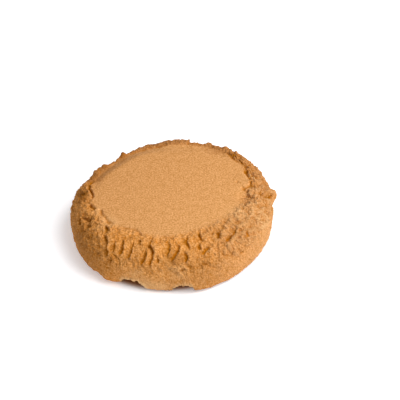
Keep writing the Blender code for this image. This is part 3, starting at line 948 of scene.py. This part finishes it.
def paint_dough(mesh, at, crack_shade, relief, chips, lip):
    """Paints what the dough's colour and crumb follow, painted shade and highlights among them."""
    rim = rise(at.outward, *BROWNING_STEP)
    raised = np.clip(relief, 0.0, 1.0)
    toast_and_shade = toast_and_shade_share(at, rim)
    # Painted warm bounce light: the darkest part of each crack is painted a brighter orange
    deep = np.clip(BOUNCE_BY_CRACK_SHADE * (crack_shade - BOUNCE_LEAST), 0.0, 1.0)
    # Painted highlight: crests round the right and the lip over each chip are painted paler
    right = fade(np.abs(turn_between(at.angle, HIGHLIGHT_ROUND)), 0.0, HIGHLIGHT_WITHIN)
    pale = spots(at, PALE_SPOTS) + LIP_HIGHLIGHT * lip + RIGHT_CREST_HIGHLIGHT * right * rim * raised
    # Painted shade: cracks and sunk places are painted darker orange brown, for their shade and warm
    # bounce
    paint(mesh, "cavity", CAVITY_BY_CRACK_SHADE * crack_shade - CAVITY_BY_DEPTH * relief - CAVITY_LEAST)
    paint(mesh, "browning", rim_browning(at, rim, raised))
    paint(mesh, "toast_and_shade", toast_and_shade)
    paint(mesh, "crack", deep * (1.0 - toast_and_shade))
    # Painted shade on most of these spots, and a darker bake on a few
    paint(mesh, "shade_and_baking", spots(at, SHADE_AND_BAKED_SPOTS))
    paint(mesh, "paleness", pale)
    # Painted shade in each chip's recess, in the underside's colour, which also fades up the foot
    paint(mesh, "underside", np.clip(chips, 0.0, 1.0) + fade(at.height, *FOOT_BROWNED))
    paint(mesh, "roughness", CRUMB_ON_DISC + (1.0 - CRUMB_ON_DISC) * rim)


def lay_out_surface(pat, at):
    """A flat layout of the surface: the top and the side are one round, the underside a small one."""
    side = at.edge + TOP_SIDE_LENGTH * np.clip(at.fall / 90.0, 0.0, 1.0)
    side = side + LOW_SIDE_LENGTH * np.clip(at.fall / 90.0 - 1.0, 0.0, 1.0)
    from_middle = np.where(at.fall < 0.0, at.reach, side)
    layout = pat.data.uv_layers.new(name="OFBake")
    corner_points = np.empty(len(pat.data.loops), dtype=np.int32)
    pat.data.loops.foreach_get("vertex_index", corner_points)
    starts = np.empty(len(pat.data.polygons), dtype=np.int32)
    pat.data.polygons.foreach_get("loop_start", starts)
    totals = np.empty(len(pat.data.polygons), dtype=np.int32)
    pat.data.polygons.foreach_get("loop_total", totals)
    on_table = (at.height < ON_TABLE)[corner_points]
    below = np.repeat(np.logical_and.reduceat(on_table, starts), totals)
    turn = np.radians(at.angle)[corner_points]
    longest = (at.edge + TOP_SIDE_LENGTH + LOW_SIDE_LENGTH).max()
    share = np.where(below, UNDERSIDE_ROUND * at.reach[corner_points] / at.reach.max(),
                     TOP_ROUND * from_middle[corner_points] / longest)
    middle = np.where(below, 1.0 - UNDERSIDE_ROUND - LAYOUT_GAP, TOP_ROUND + LAYOUT_GAP)
    places = np.stack((middle + share * np.cos(turn), middle + share * np.sin(turn)), axis=1)
    layout.uv.foreach_set("vector", places.astype(np.float32).ravel())


def stand_in_place(pat):
    """Centres the cookie over the solid it stands for, with its foot on the table."""
    flat = np.empty(len(pat.data.vertices) * 3, dtype=np.float32)
    pat.data.vertices.foreach_get("co", flat)
    points = flat.reshape(-1, 3)
    low = points.min(axis=0)
    high = points.max(axis=0)
    solid_low, solid_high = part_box("cookie")
    middle = (Vector(solid_low) + Vector(solid_high)) / 2.0
    move = Vector((middle.x - (low[0] + high[0]) / 2.0, middle.y - (low[1] + high[1]) / 2.0, -low[2]))
    pat.data.transform(Matrix.Translation(move))


# ---------------------------------------------------------------- materials


def to_linear(hex_colour):
    """An sRGB hex colour as the linear RGBA that a shader takes."""
    channels = []
    for start in (0, 2, 4):
        value = int(hex_colour[start:start + 2], 16) / 255.0
        channels.append(value / 12.92 if value <= 0.04045 else ((value + 0.055) / 1.055) ** 2.4)
    return (*channels, 1.0)


def add_node(tree, kind, settings=None, inputs=None):
    """Adds a node, sets its properties and its sockets; a socket given another socket is linked."""
    node = tree.nodes.new(kind)
    for name, value in (settings or {}).items():
        setattr(node, name, value)
    for name, value in (inputs or {}).items():
        if isinstance(value, bpy.types.NodeSocket):
            tree.links.new(value, node.inputs[name])
        else:
            node.inputs[name].default_value = value
    return node


def noise_share(tree, place, size):
    """Noise from 0 to 1 with grains of this size in millimetres."""
    grain = add_node(tree, "ShaderNodeTexNoise", None, {
        "Vector": place, "Scale": 1.0 / (size * MM), "Detail": COLOUR_DETAIL,
        "Roughness": NOISE_ROUGHNESS})
    spread = add_node(tree, "ShaderNodeMapRange", None, {
        "Value": grain.outputs["Fac"], "From Min": NOISE_LOW, "From Max": NOISE_HIGH})
    return spread.outputs["Result"]


def dough_material():
    """Baked butter dough, which is dry, matt and granular.

    It is tan and smoother where it was pressed, and browner and more orange on the rim and in cracks.
    Shade, warm bounce light and highlights are painted into its colour as well.
    """
    material = bpy.data.materials.new("baked_butter_dough")
    material.use_nodes = True
    tree = material.node_tree
    shader = tree.nodes["Principled BSDF"]
    shader.inputs["Roughness"].default_value = DOUGH_ROUGHNESS
    shader.inputs["Specular IOR Level"].default_value = DOUGH_SPECULAR
    place = add_node(tree, "ShaderNodeTexCoord").outputs["Object"]
    grain = add_node(tree, "ShaderNodeMix", None, {
        "Factor": MOTTLE_SHARE, "A": noise_share(tree, place, COLOUR_GRAIN),
        "B": noise_share(tree, place, COLOUR_MOTTLE)}).outputs["Result"]
    grained = []
    for deep, pale in ((PRESSED_DEEP, PRESSED_PALE), (RIM_DEEP, RIM_PALE),
                       (TOAST_AND_SHADE_DEEP, TOAST_AND_SHADE_PALE), (UNDERSIDE_AND_SHADE_DEEP, UNDERSIDE_AND_SHADE_PALE)):
        mix = add_node(tree, "ShaderNodeMix", {"data_type": "RGBA"}, {
            0: grain, 6: to_linear(deep), 7: to_linear(pale)})
        grained.append(mix.outputs[2])
    dough, rim, toasted_and_shaded, bottom = grained
    # Each is laid over the ones before it, as far as its painted number says
    for name, colour in (("browning", rim), ("toast_and_shade", toasted_and_shaded), ("paleness", to_linear(PALE_AND_HIGHLIGHT_DOUGH)),
                         ("shade_and_baking", to_linear(SHADE_AND_BAKED_DOUGH)), ("cavity", to_linear(HOLLOW_SHADE_DOUGH)),
                         ("crack", to_linear(CRACK_BOUNCE_DOUGH)), ("underside", bottom)):
        painted = add_node(tree, "ShaderNodeAttribute", {"attribute_name": name})
        mix = add_node(tree, "ShaderNodeMix", {"data_type": "RGBA"}, {
            0: painted.outputs["Fac"], 6: dough, 7: colour})
        dough = mix.outputs[2]
    tree.links.new(dough, shader.inputs["Base Color"])
    sand = add_node(tree, "ShaderNodeTexNoise", None, {
        "Vector": place, "Scale": 1.0 / (CRUMB_GRAIN * MM), "Detail": CRUMB_DETAIL,
        "Roughness": NOISE_ROUGHNESS})
    standing = add_node(tree, "ShaderNodeAttribute", {"attribute_name": "roughness"})
    crumb = add_node(tree, "ShaderNodeMath", {"operation": "MULTIPLY"}, {
        0: sand.outputs["Fac"], 1: standing.outputs["Fac"]})
    bump = add_node(tree, "ShaderNodeBump", None, {
        "Height": crumb.outputs["Value"], "Strength": 1.0, "Distance": CRUMB_RELIEF * MM})
    tree.links.new(bump.outputs["Normal"], shader.inputs["Normal"])
    return material


def floor_material():
    """A white table that glows a little, painted light, but not near the foot: a painted contact shadow.
    """
    material = bpy.data.materials.new("white_table")
    material.use_nodes = True
    tree = material.node_tree
    shader = tree.nodes["Principled BSDF"]
    shader.inputs["Roughness"].default_value = TABLE_ROUGHNESS
    place = add_node(tree, "ShaderNodeTexCoord").outputs["Object"]
    reach = add_node(tree, "ShaderNodeVectorMath", {"operation": "LENGTH"}, {0: place}).outputs["Value"]
    # Painted light: the table glows, but not near the foot, which leaves a painted contact shadow there
    glow = add_node(tree, "ShaderNodeMapRange", {"interpolation_type": "SMOOTHSTEP"}, {
        "Value": reach, "From Min": GLOW_FROM * MM, "From Max": GLOW_TO * MM,
        "To Min": 0.0, "To Max": TABLE_PAINTED_GLOW})
    # Painted bounce light: near the foot the table is painted the dough's warm colour
    away = add_node(tree, "ShaderNodeMapRange", {"interpolation_type": "SMOOTHSTEP"}, {
        "Value": reach, "From Min": BOUNCE_TINT_FROM * MM, "From Max": BOUNCE_TINT_TO * MM})
    colour = add_node(tree, "ShaderNodeMix", {"data_type": "RGBA"}, {
        0: away.outputs["Result"], 6: to_linear(TABLE_BOUNCE_TINT), 7: to_linear(TABLE)}).outputs[2]
    tree.links.new(colour, shader.inputs["Base Color"])
    tree.links.new(colour, shader.inputs["Emission Color"])
    tree.links.new(glow.outputs["Result"], shader.inputs["Emission Strength"])
    return material


# ---------------------------------------------------------------- table, light and camera


def make_floor():
    """The table, a plain white plane at the foot of the cookie."""
    bpy.ops.mesh.primitive_plane_add(size=TABLE_SIZE)
    floor = bpy.context.object
    floor.name = "table"
    floor.data.materials.append(floor_material())
    return floor


def make_lights():
    """White light from all round, and a soft square key light that looks at the cookie."""
    world = bpy.data.worlds.new("studio")
    bpy.context.scene.world = world
    world.use_nodes = True
    background = world.node_tree.nodes["Background"]
    background.inputs["Color"].default_value = to_linear(FILL_COLOUR)
    background.inputs["Strength"].default_value = FILL_STRENGTH
    lamp = bpy.data.lights.new("key", "AREA")
    lamp.size = KEY_SIZE
    lamp.energy = KEY_POWER
    key = bpy.data.objects.new("key", lamp)
    bpy.context.scene.collection.objects.link(key)
    turn = math.radians(KEY_ANGLE)
    lift = math.radians(KEY_RISE)
    way = Vector((math.cos(turn) * math.cos(lift), math.sin(turn) * math.cos(lift), math.sin(lift)))
    way.normalize()
    key.location = way * KEY_DISTANCE
    key.rotation_euler = way.to_track_quat("Z", "Y").to_euler()


def make_camera():
    """The camera, placed so that one point of the cookie is seen at its pixel of the picture."""
    tilt = math.radians(CAMERA_TILT)
    roll = math.radians(CAMERA_ROLL)
    forward = Vector((0.0, math.cos(tilt), -math.sin(tilt)))
    level_right = Vector((1.0, 0.0, 0.0))
    level_up = Vector((0.0, math.sin(tilt), math.cos(tilt)))
    right = level_right * math.cos(roll) + level_up * math.sin(roll)
    up = level_up * math.cos(roll) - level_right * math.sin(roll)
    beside = (SEEN_AT_PIXEL[0] - IMAGE_SIZE / 2) / PIXELS_PER_MM
    below = (SEEN_AT_PIXEL[1] - IMAGE_SIZE / 2) / PIXELS_PER_MM
    place = Vector(SEEN_POINT) - forward * CAMERA_DISTANCE - right * beside + up * below
    lens = bpy.data.cameras.new("camera")
    lens.sensor_width = SENSOR
    lens.sensor_fit = "HORIZONTAL"
    lens.lens = PIXELS_PER_MM * CAMERA_DISTANCE / IMAGE_SIZE * SENSOR
    lens.clip_start = NEAREST_SEEN
    camera = bpy.data.objects.new("camera", lens)
    bpy.context.scene.collection.objects.link(camera)
    camera.matrix_world = Matrix((right, up, -forward)).transposed().to_4x4()
    camera.location = place * MM
    bpy.context.scene.camera = camera


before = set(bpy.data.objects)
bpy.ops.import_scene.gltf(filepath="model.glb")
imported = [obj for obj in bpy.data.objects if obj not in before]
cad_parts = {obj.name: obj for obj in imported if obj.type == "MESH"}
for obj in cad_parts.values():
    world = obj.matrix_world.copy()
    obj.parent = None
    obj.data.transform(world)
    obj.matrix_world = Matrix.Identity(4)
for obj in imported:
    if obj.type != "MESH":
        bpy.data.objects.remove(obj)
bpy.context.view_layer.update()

cookie = make_pat()
work_the_dough(cookie)
stand_in_place(cookie)
cookie.data.materials.append(dough_material())
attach(cookie, "root")
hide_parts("cookie")

make_floor()
make_lights()
make_camera()
bpy.context.scene.view_settings.view_transform = "Standard"
